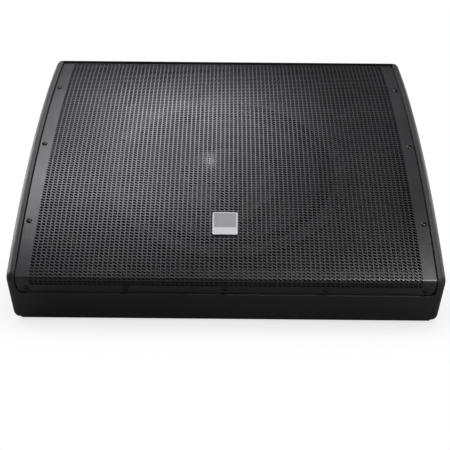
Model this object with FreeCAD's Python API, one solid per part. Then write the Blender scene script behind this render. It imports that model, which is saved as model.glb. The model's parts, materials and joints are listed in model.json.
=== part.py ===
import FreeCAD, Part
import math
import os

V = FreeCAD.Vector

# Low stage monitor wedge, 15 inch coaxial, active. Millimetres, +Z up, X across, -Y to the performer.
# The origin is the centre of the footprint, on the surface that the rubber feet rest on.

# ---- driving dimensions: cabinet ----
WIDTH = 624.0              # over both side panels
DEPTH = 480.4              # over the side panels
NOSE = 0.2                 # side panels' rounded nose, in front of the grille's corner
SLOPE = 35.0               # angle of the baffle above the floor, degrees
CHORD = 528.0              # grille, straight from its front corner to its rear edge
TURN = 24.2                # how far the arched grille turns along that chord, degrees
WALL_ANGLE = 56.6          # the front wall runs down and back at this angle, degrees
WALL_LENGTH = 81.0         # front wall from the grille's front corner to the underside
FOOT_HEIGHT = 4.0
SIDE_T = 12.5              # coated plywood side panel
PLY = 15.0                 # base, back and top panels
BAFFLE_T = 18.0
RAIL_T = 19.0
PROUD = 4.0                # side panels stand this far above the grille
RAIL_PROUD = 2.5           # front rail stands this far above the grille's lip
ARRIS = 10.0               # rounding of the side panels' outer edges
CORNER_R = 14.0            # rounding of the cabinet's corners, seen from the side
BROW_R = 26.0              # softer rounding where the slope meets the top
BACK_INSET = 12.0          # back panel sits this far inside the rear edges
BAFFLE_DROP = 10.0         # baffle face below the grille's chord

# ---- grille ----
SHEET = 1.5
GRILLE_GAP = 1.5
BEND_R = 5.0
LIP = 27.0
LIP_CORNER = 8.0
UNDER = 0.2                # air between the sheet and the wood under it
BATTEN_W = 20.0
SIDE_SCREWS = (99.5, 264.0, 428.5)
LIP_SCREW_X = (-285.0, -142.5, 0.0, 142.5, 285.0)
SIDE_SCREW_X = 291.0
LIP_SCREW_DOWN = 18.5
SCREW_HEAD_R = 4.2
SCREW_HEAD_T = 1.6
SCREW_R = 2.0
SCREW_LENGTH = 15.0
BADGE = (37.0, 41.0, 2.0)
BADGE_X = -2.0
BADGE_S = 96.3
BADGE_RIM = 2.0
BADGE_STRIP = 13.0         # plain strip along the badge's lower edge

# ---- loudspeaker, heights measured from the baffle's face along its outward normal ----
WOOFER_S = 246.0
FRAME_R = 195.0
CUTOUT_R = 178.0
FLANGE_T = 8.0
FLANGE_SINK = 4.0
SURROUND_OUT_R = 172.0
LEDGE_W = 6.0
CONE_R = 150.0
COIL_R = 44.0
HORN_MOUTH_R = 79.0
HORN_MOUTH = -23.0
THROAT_R = 18.0
MAGNET_R = 60.0
PORT_X = 190.5
PORT_S = 447.0
PORT_R = 35.0
PORT_WALL = 4.0
PORT_LENGTH = 60.0

# ---- amplifier panel, on the back ----
PLATE = (300.0, 3.0, 210.0)
PLATE_Z = 150.0
PLATE_OVERLAP = 12.0

# ---- side handles ----
HANDLE_Y = 342.0           # from the grille's front corner
HANDLE_Z = 154.0
CUP = (160.0, 60.0, 92.0)  # along Y, depth into the cabinet, height
CUP_WALL = 2.5
CUP_FLANGE = 9.0

# ---- what follows from them ----
A = math.radians(SLOPE)
B = math.radians(WALL_ANGLE)
U = (math.cos(A), math.sin(A))             # up the slope, in Y and Z
N = (-math.sin(A), math.cos(A))            # out of the slope
W = (math.cos(B), -math.sin(B))            # down the front wall
M = (math.sin(B), math.cos(B))             # from the front wall into the cabinet
FRONT_Z = FOOT_HEIGHT + WALL_LENGTH * math.sin(B)
ARC_R = CHORD / 2 / math.sin(math.radians(TURN / 2))
ARC_RISE = ARC_R * (1 - math.cos(math.radians(TURN / 2)))
FRONT_Y = -DEPTH / 2 + NOSE               # the grille's front corner
BACK_Y = DEPTH / 2
TOP_Z = FRONT_Z + CHORD * U[1] + PROUD
HALF_IN = WIDTH / 2 - SIDE_T


def sn(s, n):
    """Y and Z of a point s up the slope's chord and n out of it."""
    return (FRONT_Y + s * U[0] + n * N[0], FRONT_Z + s * U[1] + n * N[1])


def wall(down, depth):
    """Y and Z of a point on the front wall, measured from the grille's front corner."""
    return (FRONT_Y + down * W[0] + depth * M[0], FRONT_Z + down * W[1] + depth * M[1])


ARC_C = sn(CHORD / 2, ARC_RISE - ARC_R)


def arch(s):
    """Height of the grille's outer face above its chord."""
    return ARC_RISE - ARC_R + math.sqrt(ARC_R ** 2 - (s - CHORD / 2) ** 2)


def on_arc(start, way, radius):
    """First point of a line, going along way from start, at radius from the arch's centre."""
    dy = start[0] - ARC_C[0]
    dz = start[1] - ARC_C[1]
    half = dy * way[0] + dz * way[1]
    root = math.sqrt(half ** 2 - (dy ** 2 + dz ** 2 - radius ** 2))
    far = -half + root
    near = -half - root
    t = near if abs(near) < abs(far) else far
    return (start[0] + t * way[0], start[1] + t * way[1])


def arc_mid(p, q, radius):
    """The arch's point half way between p and q."""
    dy = (p[0] + q[0]) / 2 - ARC_C[0]
    dz = (p[1] + q[1]) / 2 - ARC_C[1]
    size = math.hypot(dy, dz)
    return (ARC_C[0] + dy / size * radius, ARC_C[1] + dz / size * radius)


def yz(p, x=0.0):
    return V(x, p[0], p[1])


def prism(points, x0, x1):
    """Solid between x0 and x1 with the given Y-Z outline; a nested list (mid, end) is an arc."""
    edges = []
    first = points[0]
    here = first
    for item in list(points[1:]) + [first]:
        if item == here:
            continue
        if isinstance(item[0], tuple):
            edges.append(Part.Arc(yz(here, x0), yz(item[0], x0), yz(item[1], x0)).toShape())
            here = item[1]
        else:
            edges.append(Part.makeLine(yz(here, x0), yz(item, x0)))
            here = item
    return Part.Face(Part.Wire(edges)).extrude(V(x1 - x0, 0, 0))


def block(low, high):
    return Part.makeBox(high[0] - low[0], high[1] - low[1], high[2] - low[2], V(*low))


def slab(spot, width, height, y0, y1):
    """Block between y0 and y1, centred on a spot in X and Z."""
    x, z = spot
    return block((x - width / 2, y0, z - height / 2), (x + width / 2, y1, z + height / 2))


def rod(r, length, base, way):
    return Part.makeCylinder(r, length, V(*base), V(*way))


def tube(outer, inner, length, base, way):
    return rod(outer, length, base, way).cut(rod(inner, length, base, way))


def revolve(points):
    """Solid of revolution about Z from (radius, height) points; a nested (mid, end) is an arc."""
    edges = []
    first = points[0]
    here = first
    for item in list(points[1:]) + [first]:
        start = V(here[0], 0, here[1])
        if item == here:
            continue
        if isinstance(item[0], tuple):
            mid = V(item[0][0], 0, item[0][1])
            end = V(item[1][0], 0, item[1][1])
            edges.append(Part.Arc(start, mid, end).toShape())
            here = item[1]
        else:
            edges.append(Part.makeLine(start, V(item[0], 0, item[1])))
            here = item
    return Part.Face(Part.Wire(edges)).revolve(V(0, 0, 0), V(0, 0, 1), 360)


def edge_at(shape, point):
    """The edge whose middle is nearest to the point."""
    def gap(edge):
        middle = edge.valueAt((edge.FirstParameter + edge.LastParameter) / 2)
        return middle.distanceToPoint(V(*point))
    return min(shape.Edges, key=gap)


def fillet_at(shape, radius, *points):
    return shape.makeFillet(radius, [edge_at(shape, p) for p in points])


def round_along(shape, radius, axis):
    """Round every straight edge that runs along the axis."""
    picked = []
    for edge in shape.Edges:
        if edge.Curve.TypeId != "Part::GeomLine":
            continue
        if abs(edge.Curve.Direction.dot(V(*axis))) > 0.999:
            picked.append(edge)
    return shape.makeFillet(radius, picked)


def tilt(shape, s, x=0.0):
    """Stand a shape, modelled along +Z from the baffle's face, on the baffle."""
    placed = shape.copy()
    placed.rotate(V(0, 0, 0), V(1, 0, 0), SLOPE)
    placed.translate(yz(sn(s, -BAFFLE_DROP), x))
    return placed


def ring_of(shape, count, start=0.0):
    """Copies of a shape turned evenly about Z."""
    copies = []
    for i in range(count):
        item = shape.copy()
        item.rotate(V(0, 0, 0), V(0, 0, 1), start + i * 360.0 / count)
        copies.append(item)
    return copies


def mirrored(shape):
    return shape.mirror(V(0, 0, 0), V(1, 0, 0))


# ---- cabinet ----

def side_profile():
    """Sharp-cornered outline of a side panel: underside, front wall, arched slope, top, back."""
    nose = on_arc(wall(0, -RAIL_PROUD), W, ARC_R + PROUD)
    toe = (wall(0, -RAIL_PROUD)[0] + (FRONT_Z - FOOT_HEIGHT - RAIL_PROUD * M[1]) / math.tan(B),
           FOOT_HEIGHT)
    brow = on_arc((sn(CHORD, 0)[0], TOP_Z), (1.0, 0.0), ARC_R + PROUD)
    return toe, nose, brow


def side_panel():
    toe, nose, brow = side_profile()
    middle = arc_mid(nose, brow, ARC_R + PROUD)
    outline = [toe, nose, (middle, brow), (BACK_Y, TOP_Z), (BACK_Y, FOOT_HEIGHT)]
    panel = prism(outline, HALF_IN, WIDTH / 2)
    mid_x = HALF_IN + SIDE_T / 2
    for radius, corner in ((CORNER_R, toe), (CORNER_R, nose), (BROW_R, brow),
                           (CORNER_R, (BACK_Y, TOP_Z)), (CORNER_R, (BACK_Y, FOOT_HEIGHT))):
        panel = fillet_at(panel, radius, (mid_x, corner[0], corner[1]))
    rim = [e for e in panel.Edges if all(abs(v.X - WIDTH / 2) < 0.01 for v in e.Vertexes)]
    return panel.makeFillet(ARRIS, rim)


def handle_cut(grow, x0, x1):
    """Rounded block at the right-hand handle, grown all round by a margin."""
    y = FRONT_Y + HANDLE_Y
    low = (x0, y - CUP[0] / 2 - grow, HANDLE_Z - CUP[2] / 2 - grow)
    high = (x1, y + CUP[0] / 2 + grow, HANDLE_Z + CUP[2] / 2 + grow)
    return round_along(block(low, high), 18.0 + grow, (1, 0, 0))


def side_panel_with_handle():
    panel = side_panel()
    panel = panel.cut(handle_cut(0.3, HALF_IN - 1, WIDTH / 2 + 1))
    return panel.cut(handle_cut(CUP_FLANGE + 0.3, WIDTH / 2 - CUP_WALL, WIDTH / 2 + 1))


def front_rail():
    """Sloping front wall with a ledge for the grille's lip and a seat under the bend."""
    skin = SHEET + UNDER
    top_out = on_arc(wall(0, skin), W, ARC_R - skin)
    top_in = on_arc(wall(0, RAIL_T), W, ARC_R - skin)
    bottom = WALL_LENGTH * math.sin(B)

    def foot(depth):
        down = (bottom + depth * M[1]) / math.sin(B)
        return wall(down, depth)

    body = prism([top_out, foot(skin), foot(RAIL_T), top_in], -HALF_IN, HALF_IN)
    body = fillet_at(body, BEND_R, (0, top_out[0], top_out[1]))
    face = prism([wall(LIP - LIP_CORNER, skin), wall(LIP - LIP_CORNER, -RAIL_PROUD),
                  foot(-RAIL_PROUD), foot(skin)], -HALF_IN, HALF_IN)
    face = face.cut(lip_shape(0.7, 0.0))
    return body.fuse(face).removeSplitter()


def lip_shape(grow, sheet_depth):
    """Block over the lip's area with its two rounded lower corners, for cutting and for the sheet."""
    half = HALF_IN - GRILLE_GAP + grow
    outline = [wall(-2, sheet_depth + SHEET + UNDER), wall(-2, -9),
               wall(LIP + grow, -9), wall(LIP + grow, sheet_depth + SHEET + UNDER)]
    plate = prism(outline, -half, half)
    corners = []
    for x in (-half, half):
        p = wall(LIP + grow, (sheet_depth + SHEET + UNDER - 9) / 2)
        corners.append((x, p[0], p[1]))
    return fillet_at(plate, LIP_CORNER, *corners)


def base_panel():
    """Base between the front rail and the back edge."""
    bottom = WALL_LENGTH * math.sin(B)
    low = wall((bottom + RAIL_T * M[1]) / math.sin(B), RAIL_T)
    up = wall((bottom - PLY + RAIL_T * M[1]) / math.sin(B), RAIL_T)
    panel = prism([low, (BACK_Y, FOOT_HEIGHT), (BACK_Y, FOOT_HEIGHT + PLY), up], -HALF_IN, HALF_IN)
    for x, y in foot_places():
        panel = panel.cut(rod(SCREW_R, PLY + 1, (x, y, FOOT_HEIGHT - 0.5), (0, 0, 1)))
    return fillet_at(panel, CORNER_R, (0, BACK_Y, FOOT_HEIGHT))


def top_panel():
    """Narrow flat top, from the grille's rear edge to the back edge."""
    front = CHORD + GRILLE_GAP
    low = sn(front, (TOP_Z - PLY - FRONT_Z - front * U[1]) / N[1])
    high = sn(front, (TOP_Z - FRONT_Z - front * U[1]) / N[1])
    panel = prism([low, high, (BACK_Y, TOP_Z), (BACK_Y, TOP_Z - PLY)], -HALF_IN, HALF_IN)
    return fillet_at(panel, CORNER_R, (0, BACK_Y, TOP_Z))


def back_panel():
    """Back, set in from the rear edges, with the opening for the amplifier."""
    y1 = BACK_Y - BACK_INSET
    panel = block((-HALF_IN, y1 - PLY, FOOT_HEIGHT + PLY), (HALF_IN, y1, TOP_Z - PLY))
    half = PLATE[0] / 2 - PLATE_OVERLAP
    tall = PLATE[2] / 2 - PLATE_OVERLAP
    hole = block((-half, y1 - PLY - 1, PLATE_Z - tall), (half, y1 + 1, PLATE_Z + tall))
    panel = panel.cut(round_along(hole, 6.0, (0, 1, 0)))
    for x, z in plate_screw_places():
        panel = panel.cut(rod(SCREW_R, PLY + 2, (x, y1 + 1, z), (0, -1, 0)))
    return panel


def baffle():
    """Board that carries the loudspeaker and the ports."""
    front = -BAFFLE_DROP
    rear = -BAFFLE_DROP - BAFFLE_T

    def meet_rail(n):
        # where a line along the slope, n out of the chord, meets the rail's inner face
        p = sn(0, n)
        q = wall(0, RAIL_T)
        gap = (q[0] - p[0]) * M[0] + (q[1] - p[1]) * M[1]
        s = gap / (U[0] * M[0] + U[1] * M[1])
        return sn(s, n)

    under = TOP_Z - PLY
    back = BACK_Y - BACK_INSET - PLY
    top_front = sn((under - FRONT_Z - front * N[1]) / U[1], front)
    low_back = sn((back - FRONT_Y - rear * N[0]) / U[0], rear)
    board = prism([meet_rail(front), meet_rail(rear), low_back, (back, under), top_front],
                  -HALF_IN, HALF_IN)
    hole = rod(CUTOUT_R, 60, (0, 0, -40), (0, 0, 1))
    sink = rod(FRAME_R + 0.5, 40, (0, 0, -FLANGE_SINK), (0, 0, 1))
    board = board.cut(tilt(hole, WOOFER_S)).cut(tilt(sink, WOOFER_S))
    for side in (-1, 1):
        bore = rod(PORT_R + PORT_WALL + 0.2, 60, (0, 0, -40), (0, 0, 1))
        board = board.cut(tilt(bore, PORT_S, side * PORT_X))
    for screw in woofer_screw_rods():
        board = board.cut(tilt(screw, WOOFER_S))
    return board


def batten_side():
    """Arched strip under one edge of the grille."""
    radius = ARC_R - SHEET - UNDER
    x1 = HALF_IN
    x0 = HALF_IN - GRILLE_GAP - BATTEN_W
    rail = wall(0, RAIL_T)
    start = on_arc(rail, W, radius)
    end = sn(CHORD - 1, arch(CHORD - 1) - SHEET - UNDER)
    middle = arc_mid(start, end, radius)
    gap = -BAFFLE_DROP
    p = sn(0, gap)
    s = ((rail[0] - p[0]) * M[0] + (rail[1] - p[1]) * M[1]) / (U[0] * M[0] + U[1] * M[1])
    strip = prism([sn(s, gap), start, (middle, end), sn(CHORD - 1, gap)], x0, x1)
    for screw_s in SIDE_SCREWS:
        strip = strip.cut(screw_rod(screw_s, SIDE_SCREW_X))
    return strip


def batten_rear():
    """Strip under the grille's rear edge, between the two side battens."""
    half = HALF_IN - GRILLE_GAP - BATTEN_W
    s0 = CHORD - 17
    s1 = CHORD - 1
    skin = SHEET + UNDER
    low = sn(s0, arch(s0) - skin)
    high = sn(s1, arch(s1) - skin)
    mid = arc_mid(low, high, ARC_R - skin)
    return prism([sn(s0, -BAFFLE_DROP), low, (mid, high), sn(s1, -BAFFLE_DROP)], -half, half)


# ---- grille ----

def grille_normal(s):
    p = sn(s, arch(s))
    size = math.hypot(p[0] - ARC_C[0], p[1] - ARC_C[1])
    return p, ((p[0] - ARC_C[0]) / size, (p[1] - ARC_C[1]) / size)


def screw_rod(s, x, radius=SCREW_R):
    """Shank hole through the arched grille and the wood under it."""
    p, out = grille_normal(s)
    base = (x, p[0] + out[0] * 3, p[1] + out[1] * 3)
    return rod(radius, SCREW_LENGTH + 3 + 0.5, base, (0, -out[0], -out[1]))


def lip_rod(x, radius=SCREW_R):
    """Shank hole through the lip and the front rail."""
    p = wall(LIP_SCREW_DOWN, -3)
    return rod(radius, SCREW_LENGTH + 3 + 0.5, (x, p[0], p[1]), (0, M[0], M[1]))


def grille():
    """Arched sheet, bent over at the front into a short lip. Its perforation is left out."""
    half = HALF_IN - GRILLE_GAP
    corner = on_arc(wall(0, 0), W, ARC_R)
    inner = on_arc(wall(0, SHEET), W, ARC_R - SHEET)
    rear = sn(CHORD, 0)
    out = grille_normal(CHORD)[1]
    rear_in = (rear[0] - out[0] * SHEET, rear[1] - out[1] * SHEET)
    outline = [wall(LIP, 0), corner, (arc_mid(corner, rear, ARC_R), rear), rear_in,
               (arc_mid(inner, rear_in, ARC_R - SHEET), inner), wall(LIP, SHEET)]
    sheet = prism(outline, -half, half)
    sheet = fillet_at(sheet, BEND_R, (0, corner[0], corner[1]))
    sheet = fillet_at(sheet, BEND_R - SHEET, (0, inner[0], inner[1]))
    tips = []
    for x in (-half, half):
        p = wall(LIP, SHEET / 2)
        tips.append((x, p[0], p[1]))
    sheet = fillet_at(sheet, LIP_CORNER, *tips)
    for x in LIP_SCREW_X:
        sheet = sheet.cut(lip_rod(x, SCREW_R + 0.4))
    for s in SIDE_SCREWS:
        for x in (-SIDE_SCREW_X, SIDE_SCREW_X):
            sheet = sheet.cut(screw_rod(s, x, SCREW_R + 0.4))
    return sheet


def pan_screw(base, way):
    """Round-headed wood screw, its head's underside at base and its tip along way."""
    head = revolve([(0, 0), (SCREW_HEAD_R, 0), (SCREW_HEAD_R, SCREW_HEAD_T * 0.45),
                    ((SCREW_HEAD_R * 0.75, SCREW_HEAD_T * 0.88), (0, SCREW_HEAD_T))])
    slot = block((-0.5, -2.2, SCREW_HEAD_T - 0.9), (0.5, 2.2, SCREW_HEAD_T + 1))
    cross = block((-2.2, -0.5, SCREW_HEAD_T - 0.9), (2.2, 0.5, SCREW_HEAD_T + 1))
    shank = rod(SCREW_R, SCREW_LENGTH, (0, 0, -SCREW_LENGTH), (0, 0, 1))
    screw = head.fuse(shank).cut(slot).cut(cross)
    turn = FreeCAD.Rotation(V(0, 0, -1), V(*way))
    screw.Placement = FreeCAD.Placement(V(*base), turn)
    return screw


def grille_screws():
    screws = []
    for x in LIP_SCREW_X:
        p = wall(LIP_SCREW_DOWN, 0)
        screws.append(pan_screw((x, p[0], p[1]), (0, M[0], M[1])))
    for s in SIDE_SCREWS:
        p, out = grille_normal(s)
        for x in (-SIDE_SCREW_X, SIDE_SCREW_X):
            screws.append(pan_screw((x, p[0], p[1]), (0, -out[0], -out[1])))
    return Part.makeCompound(screws)


def on_badge(shape):
    """Lay a flat shape, modelled on the XY plane, on the grille at the badge."""
    p, out = grille_normal(BADGE_S)
    placed = shape.copy()
    placed.rotate(V(0, 0, 0), V(1, 0, 0), math.degrees(math.atan2(-out[0], out[1])))
    placed.translate(V(BADGE_X, p[0] + out[0] * 0.2, p[1] + out[1] * 0.2))
    return placed


def badge_plate():
    """Plain metal plate with a raised rim and a sunk field."""
    w, h, t = BADGE
    plate = round_along(block((-w / 2, -h / 2, 0), (w / 2, h / 2, t)), 2.5, (0, 0, 1))
    field = block((-w / 2 + BADGE_RIM, -h / 2 + BADGE_STRIP, t - 0.9),
                  (w / 2 - BADGE_RIM, h / 2 - BADGE_RIM, t + 1))
    return on_badge(plate.cut(round_along(field, 1.0, (0, 0, 1))))


def badge_inlay():
    """Dark blank inlay in the badge's sunk field."""
    w, h, t = BADGE
    edge = BADGE_RIM + 0.1
    low = (-w / 2 + edge, -h / 2 + BADGE_STRIP + 0.1, t - 0.9)
    high = (w / 2 - edge, h / 2 - edge, t - 0.3)
    return on_badge(round_along(block(low, high), 0.9, (0, 0, 1)))


# ---- feet ----

def foot_places():
    return [(x, y) for x in (-255.0, 255.0) for y in (FRONT_Y + 95.0, BACK_Y - 55.0)]


def foot(x, y):
    """Round rubber foot with a sunk screw seat."""
    body = revolve([(0, 0), (15, 0), (17, 1.2), (17, FOOT_HEIGHT), (0, FOOT_HEIGHT)])
    body = body.cut(rod(6.0, 2.4, (0, 0, 0), (0, 0, 1))).cut(rod(SCREW_R, 9, (0, 0, 0), (0, 0, 1)))
    body.translate(V(x, y, 0))
    return body


def foot_screws():
    screws = []
    for x, y in foot_places():
        screws.append(pan_screw((x, y, 2.4), (0, 0, 1)))
    return Part.makeCompound(screws)


# ---- side handles ----

def handle_cup():
    """Dished cup, sunk flush in the side panel."""
    x1 = WIDTH / 2
    shell = handle_cut(0.0, x1 - CUP[1], x1)
    flange = handle_cut(CUP_FLANGE, x1 - CUP_WALL, x1)
    hollow = handle_cut(-CUP_WALL, x1 - CUP[1] + CUP_WALL, x1 + 1)
    cup = shell.fuse(flange).cut(hollow)
    for seat in handle_screw_seats():
        cup = cup.cut(seat)
    return cup


def handle_screw_places():
    y = FRONT_Y + HANDLE_Y
    inset = CUP_FLANGE / 2
    spots = []
    for dy in (-1, 0, 1):
        for dz in (-1, 1):
            spots.append((y + dy * (CUP[0] / 2 - 20), HANDLE_Z + dz * (CUP[2] / 2 + inset)))
    return spots


def handle_screw_seats():
    """Sunk holes for the handle's screws, through the cup's flange and into the side panel."""
    seats = []
    for y, z in handle_screw_places():
        seat = revolve([(0, 1), (3.9, 1), (3.9, -0.45), (2.05, -2.3), (2.05, -10.5), (0, -10.5)])
        turn = FreeCAD.Rotation(V(0, 0, -1), V(-1, 0, 0))
        seat.Placement = FreeCAD.Placement(V(WIDTH / 2, y, z), turn)
        seats.append(seat)
    return seats


def handle_bar():
    """Grip across the cup's upper part, leaving room for the fingers under and behind it."""
    y = FRONT_Y + HANDLE_Y
    half = CUP[0] / 2 - CUP_WALL
    x1 = WIDTH / 2 - 5
    z1 = HANDLE_Z + CUP[2] / 2 - CUP_WALL
    bar = round_along(block((x1 - 16, y - half, z1 - 24), (x1, y + half, z1)), 5.0, (0, 1, 0))
    return bar.common(handle_cut(-CUP_WALL, x1 - 20, x1 + 1))


def handle_screws(side):
    screws = []
    for y, z in handle_screw_places():
        screws.append(flat_screw((side * WIDTH / 2, y, z), (-side, 0, 0), 10.0))
    return screws


def flat_screw(base, way, length):
    """Flat-topped screw, its top at base and its tip along way."""
    body = revolve([(0, 0), (3.8, 0), (3.8, -0.4), (SCREW_R, -2.2), (SCREW_R, -length), (0, -length)])
    slot = block((-0.5, -2.0, -0.8), (0.5, 2.0, 1))
    cross = block((-2.0, -0.5, -0.8), (2.0, 0.5, 1))
    body = body.cut(slot).cut(cross)
    body.Placement = FreeCAD.Placement(V(*base), FreeCAD.Rotation(V(0, 0, -1), V(*way)))
    return body


# ---- ports ----

def port_tube(side):
    """Round port with a flared mouth, flush with the baffle's face."""
    outer = PORT_R + PORT_WALL
    deep = -PORT_LENGTH
    shape = revolve([(PORT_R + 3.0, 0), (outer, 0), (outer, deep), (PORT_R, deep), (PORT_R, -7.0),
                     ((PORT_R + 0.8, -2.8), (PORT_R + 3.0, 0))])
    return tilt(shape, PORT_S, side * PORT_X)


# ---- coaxial loudspeaker ----

FLANGE_TOP = FLANGE_T - FLANGE_SINK
CONE_TOP = -9.0            # where the cone's outer edge lies
LEDGE_TOP = -10.0          # where the surround is glued to the frame
CONE_NECK = -84.0          # where the cone meets the voice coil
PLATE_TOP = -104.0         # front plate of the magnet
PLATE_THICK = 9.0
MAGNET_T = 16.0
BACK_T = 9.0
SPOKES = 8
SPOKE_W = 14.0


def frame_window(r0, r1):
    """Cutter for the opening between two spokes of the basket."""
    slope = math.tan(math.pi / SPOKES)
    half0 = r0 * slope - SPOKE_W / 2
    half1 = r1 * slope - SPOKE_W / 2
    corners = [V(r0, -half0, -90), V(r1, -half1, -90), V(r1, half1, -90), V(r0, half0, -90)]
    face = Part.Face(Part.makePolygon(corners + corners[:1]))
    return round_along(face.extrude(V(0, 0, 61)), 7.0, (0, 0, 1))


def woofer_frame():
    """Cast basket: a flange, eight spokes and a seat for the magnet."""
    ledge = SURROUND_OUT_R - LEDGE_W
    flange = revolve([(SURROUND_OUT_R, FLANGE_TOP), (FRAME_R, FLANGE_TOP), (FRAME_R, -FLANGE_SINK),
                      (CUTOUT_R - 1, -FLANGE_SINK), (CUTOUT_R - 1, -14), (ledge, -14),
                      (ledge, LEDGE_TOP), (SURROUND_OUT_R, LEDGE_TOP)])
    bowl = revolve([(CUTOUT_R - 1, -14), (CUTOUT_R - 5, -30), (118, -82), (92, -97), (92, PLATE_TOP),
                    (MAGNET_R - 6, PLATE_TOP), (MAGNET_R - 6, PLATE_TOP + 4), (87, PLATE_TOP + 4),
                    (87, -93), (113, -79), (ledge, -27), (ledge, -14)])
    window = frame_window(101.0, 190.0)
    for item in ring_of(window, SPOKES, 180.0 / SPOKES):
        bowl = bowl.cut(item)
    frame = flange.fuse(bowl).removeSplitter()
    for hole in woofer_screw_rods(2.8):
        frame = frame.cut(hole)
    return tilt(frame, WOOFER_S)


def woofer_screw_rods(radius=2.5):
    rods = []
    for item in ring_of(rod(radius, 40, (186, 0, -22), (0, 0, 1)), 8, 22.5):
        rods.append(item)
    return rods


def woofer_screws():
    """Socket-headed screws that hold the frame to the baffle."""
    head = rod(4.2, 4.5, (186, 0, FLANGE_TOP), (0, 0, 1))
    socket = rod(2.0, 3.0, (186, 0, FLANGE_TOP + 2.2), (0, 0, 1))
    shank = rod(2.5, 22, (186, 0, FLANGE_TOP - 22), (0, 0, 1))
    screw = head.fuse(shank).cut(socket)
    return Part.makeCompound([tilt(item, WOOFER_S) for item in ring_of(screw, 8, 22.5)])


def surround():
    """Half-roll edge between the cone and the frame."""
    r0 = CONE_R + 0.3
    r1 = SURROUND_OUT_R - LEDGE_W
    mid = (r0 + r1) / 2
    high = (r1 - r0) / 2 + 2
    t = 1.2
    low = LEDGE_TOP
    shape = revolve([(r0, low), (r0, low + t), ((mid, low + t + high), (r1, low + t)),
                     (SURROUND_OUT_R, low + t), (SURROUND_OUT_R, low),
                     (r1 - t, low), ((mid, low + high), (r0 + t, low))])
    return tilt(shape, WOOFER_S)


def cone():
    """Ribbed paper cone, open in the middle for the horn."""
    t = 1.4
    shape = revolve([(CONE_R, CONE_TOP), (CONE_R, CONE_TOP + 1.5), (CONE_R - 5, CONE_TOP + 1.5),
                     (100, -41 + t), (COIL_R + 1.2, CONE_NECK + t), (COIL_R + 1.2, CONE_NECK),
                     (102, -42.5), (CONE_R - 4, CONE_TOP)])
    return tilt(shape, WOOFER_S)


def voice_coil():
    """Former with its winding, hanging in the magnet's gap."""
    shape = revolve([(COIL_R, CONE_NECK + 3), (COIL_R + 1.2, CONE_NECK + 3), (COIL_R + 1.2, -101),
                     (COIL_R + 2.0, -101), (COIL_R + 2.0, -119), (COIL_R, -119)])
    return tilt(shape, WOOFER_S)


def spider():
    """Corrugated ring that centres the coil."""
    t = 0.9
    r = COIL_R + 1.5
    level = -94.0
    up = []
    down = []
    for i in range(13):
        wave = 1.4 if i % 2 else -1.4
        radius = r + i * 3.3
        up.append((radius, level + wave + t))
        down.append((radius, level + wave))
    return tilt(revolve(up + down[::-1]), WOOFER_S)


def front_plate():
    shape = revolve([(COIL_R + 3.0, PLATE_TOP), (MAGNET_R + 8, PLATE_TOP),
                     (MAGNET_R + 8, PLATE_TOP - PLATE_THICK), (COIL_R + 3.0, PLATE_TOP - PLATE_THICK)])
    return tilt(shape, WOOFER_S)


def magnet_ring():
    top = PLATE_TOP - PLATE_THICK
    shape = revolve([(COIL_R + 6, top), (MAGNET_R, top), (MAGNET_R, top - MAGNET_T),
                     (COIL_R + 6, top - MAGNET_T)])
    return tilt(shape, WOOFER_S)


def pole_piece():
    """Back plate with the hollow pole that the horn's throat passes through."""
    top = PLATE_TOP - PLATE_THICK - MAGNET_T
    shape = revolve([(THROAT_R + 1, PLATE_TOP), (COIL_R - 1.0, PLATE_TOP), (COIL_R - 1.0, top),
                     (MAGNET_R, top), (MAGNET_R, top - BACK_T), (THROAT_R + 1, top - BACK_T)])
    return tilt(shape, WOOFER_S)


POLE_BACK = PLATE_TOP - PLATE_THICK - MAGNET_T - BACK_T


def horn():
    """Round waveguide standing on the pole, inside the cone, with a rolled lip."""
    t = 2.2
    outside = [(THROAT_R + t, PLATE_TOP), (THROAT_R + t, -90)]
    inside = [(THROAT_R - 1.5, -90), (THROAT_R - 3.0, PLATE_TOP)]
    steps = 8
    curve_out = []
    curve_in = []
    for i in range(1, steps + 1):
        k = i / steps
        z = -90 + (HORN_MOUTH + 90) * k
        r = THROAT_R + (HORN_MOUTH_R - THROAT_R) * (0.55 * k + 0.45 * k ** 3)
        curve_out.append((r, z))
        curve_in.append((r - t, z + 0.8))
    shape = revolve(outside + curve_out + curve_in[::-1] + inside)
    spigot = tube(THROAT_R + 0.8, THROAT_R - 3.0, PLATE_TOP - POLE_BACK, (0, 0, POLE_BACK), (0, 0, 1))
    return tilt(shape.fuse(spigot).removeSplitter(), WOOFER_S)


def hf_body():
    """Magnet and throat block of the compression driver."""
    shape = revolve([(THROAT_R - 3.0, POLE_BACK), (48, POLE_BACK), (48, POLE_BACK - 13),
                     (31, POLE_BACK - 13), (31, POLE_BACK - 9), (THROAT_R - 3.0, POLE_BACK - 9)])
    return tilt(shape, WOOFER_S)


def hf_diaphragm():
    """Thin dome of the compression driver."""
    z = POLE_BACK - 12.0
    shape = revolve([(0, z - 5.0), (8, z - 4.7), (16, z - 3.4), (22, z - 1.5), (25, z), (29.5, z),
                     (29.5, z - 0.8), (25.2, z - 0.8), (22.3, z - 2.2), (16.2, z - 4.2),
                     (8, z - 5.5), (0, z - 5.8)])
    return tilt(shape, WOOFER_S)


def hf_cover():
    """Rear cover of the compression driver."""
    z = POLE_BACK - 13
    shape = revolve([(31.5, z), (48, z), (48, z - 4), ((45, z - 9.5), (38, z - 12)), (0, z - 12),
                     (0, z - 9), (31.5, z - 9)])
    return tilt(shape, WOOFER_S)


# ---- amplifier panel ----

PLATE_IN = BACK_Y - BACK_INSET
PLATE_OUT = PLATE_IN + PLATE[1]


def plate_screw_places():
    x1 = PLATE[0] / 2 - 6
    z1 = PLATE[2] / 2 - 6
    spots = [(x, PLATE_Z + dz) for x in (-x1, 0, x1) for dz in (-z1, z1)]
    return spots + [(-x1, PLATE_Z), (x1, PLATE_Z)]


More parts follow.
